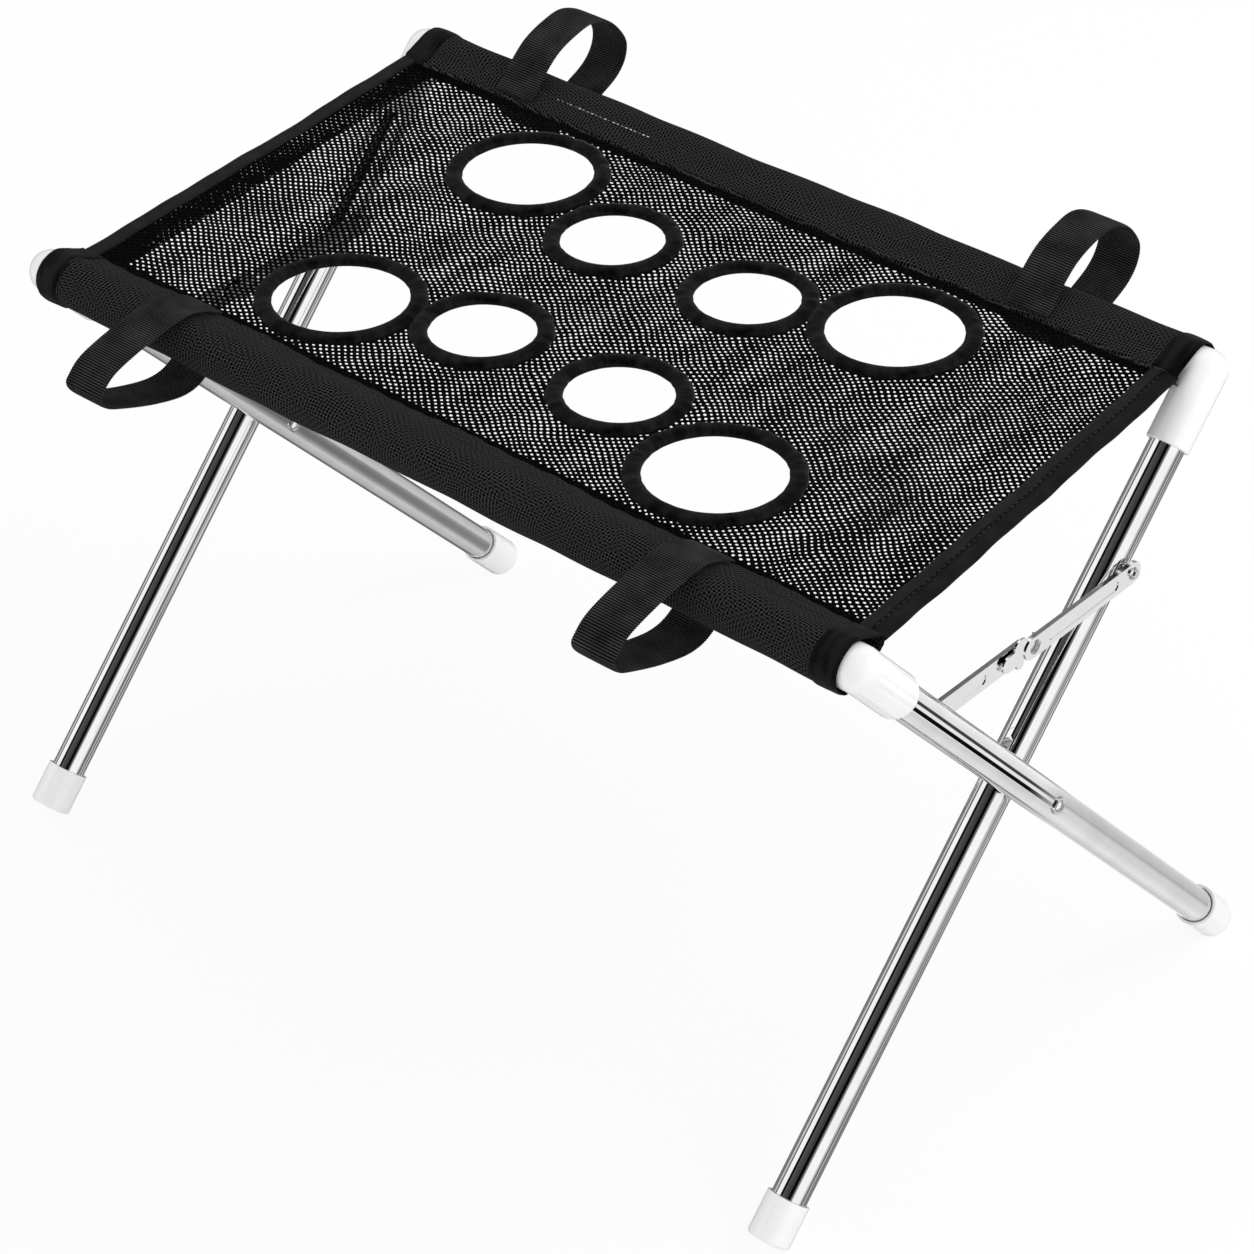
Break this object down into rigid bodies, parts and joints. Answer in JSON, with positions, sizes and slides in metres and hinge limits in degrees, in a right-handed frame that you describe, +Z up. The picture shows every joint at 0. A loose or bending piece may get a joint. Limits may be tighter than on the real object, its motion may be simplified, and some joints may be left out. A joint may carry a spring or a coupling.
{
  "type": "folding mesh toss stand",
  "caption": "Folding lawn toss target: crossed chrome tube legs with lock braces, white elbows and feet, and a black mesh top with bound round holes and webbing loops.",
  "frame": {"origin": "on the floor under the middle of the stand's box", "axes": "+X along the rails to the right end, +Y to the back rail, +Z up"},
  "size_m": [0.674, 0.5034, 0.4587],
  "materials": {
    "chrome_tube": "polished chrome tube",
    "chrome_fitting": "polished pressed links, rivets and washers",
    "white_plastic": "moulded, soft sheen",
    "mesh_fabric": "open black mesh",
    "sleeve_fabric": "black mesh, two layers",
    "tape": "black binding tape, stitched",
    "webbing": "black ribbed webbing"
  },
  "bodies": {
    "back_frame": {"back_rail": "chrome_tube", "back_leg_right": "chrome_tube", "back_leg_left": "chrome_tube", "back_elbow_right": "white_plastic", "back_elbow_left": "white_plastic", "back_foot_right": "white_plastic", "back_foot_left": "white_plastic", "back_sleeve": "sleeve_fabric", "back_cuff_right": "tape", "back_cuff_left": "tape", "back_loop_right": "webbing", "back_loop_left": "webbing", "back_washer_right": "chrome_fitting", "back_washer_left": "chrome_fitting", "brace_rivet_back_right": "chrome_fitting", "brace_rivet_back_left": "chrome_fitting", "pivot_rivet_right": "chrome_fitting", "pivot_rivet_left": "chrome_fitting", "pivot_spacer_right": "chrome_fitting", "pivot_spacer_left": "chrome_fitting", "mesh_panel": "mesh_fabric", "end_binding_right": "tape", "end_binding_left": "tape", "large_hole_binding_back_right": "tape", "large_hole_binding_back_left": "tape", "large_hole_binding_front_right": "tape", "large_hole_binding_front_left": "tape", "small_hole_binding_back_right": "tape", "small_hole_binding_back_left": "tape", "small_hole_binding_front_right": "tape", "small_hole_binding_front_left": "tape"},
    "front_frame": {"front_rail": "chrome_tube", "front_leg_right": "chrome_tube", "front_leg_left": "chrome_tube", "front_elbow_right": "white_plastic", "front_elbow_left": "white_plastic", "front_foot_right": "white_plastic", "front_foot_left": "white_plastic", "front_sleeve": "sleeve_fabric", "front_cuff_right": "tape", "front_cuff_left": "tape", "front_loop_right": "webbing", "front_loop_left": "webbing", "front_washer_right": "chrome_fitting", "front_washer_left": "chrome_fitting", "brace_rivet_front_right": "chrome_fitting", "brace_rivet_front_left": "chrome_fitting"},
    "upper_link_right": {"upper_link_right": "chrome_fitting", "mid_rivet_right": "chrome_fitting"},
    "upper_link_left": {"upper_link_left": "chrome_fitting", "mid_rivet_left": "chrome_fitting"},
    "lower_link_right": {"lower_link_right": "chrome_fitting", "mid_rivet_tail_right": "chrome_fitting"},
    "lower_link_left": {"lower_link_left": "chrome_fitting", "mid_rivet_tail_left": "chrome_fitting"}
  },
  "joints": [
    {"name": "fold", "type": "hinge", "parent": "back_frame", "child": "front_frame", "pos_m": [0, 0, 0.22534], "axis": [-1, 0, 0], "range_deg": [0, 75.4], "deforming": ["mesh_panel", "end_binding_right", "end_binding_left", "large_hole_binding_back_right", "large_hole_binding_back_left", "large_hole_binding_front_right", "large_hole_binding_front_left", "small_hole_binding_back_right", "small_hole_binding_back_left", "small_hole_binding_front_right", "small_hole_binding_front_left"]},
    {"name": "upper_link_right_swing", "type": "hinge", "parent": "back_frame", "child": "upper_link_right", "pos_m": [0.308, 0.09447, 0.32594], "axis": [1, 0, 0], "range_deg": [0, 44.45]},
    {"name": "lower_link_right_swing", "type": "hinge", "parent": "front_frame", "child": "lower_link_right", "pos_m": [0.308, -0.09447, 0.32594], "axis": [-1, 0, 0], "range_deg": [0, 44.45]},
    {"name": "upper_link_left_swing", "type": "hinge", "parent": "back_frame", "child": "upper_link_left", "pos_m": [-0.308, 0.09447, 0.32594], "axis": [1, 0, 0], "range_deg": [0, 44.45]},
    {"name": "lower_link_left_swing", "type": "hinge", "parent": "front_frame", "child": "lower_link_left", "pos_m": [-0.308, -0.09447, 0.32594], "axis": [-1, 0, 0], "range_deg": [0, 44.45]}
  ],
  "couplings": [
    {"joint": "upper_link_right_swing", "follows": "fold", "ratio": 0.58689},
    {"joint": "lower_link_right_swing", "follows": "fold", "ratio": 0.58689},
    {"joint": "upper_link_left_swing", "follows": "fold", "ratio": 0.58689},
    {"joint": "lower_link_left_swing", "follows": "fold", "ratio": 0.58689}
  ]
}
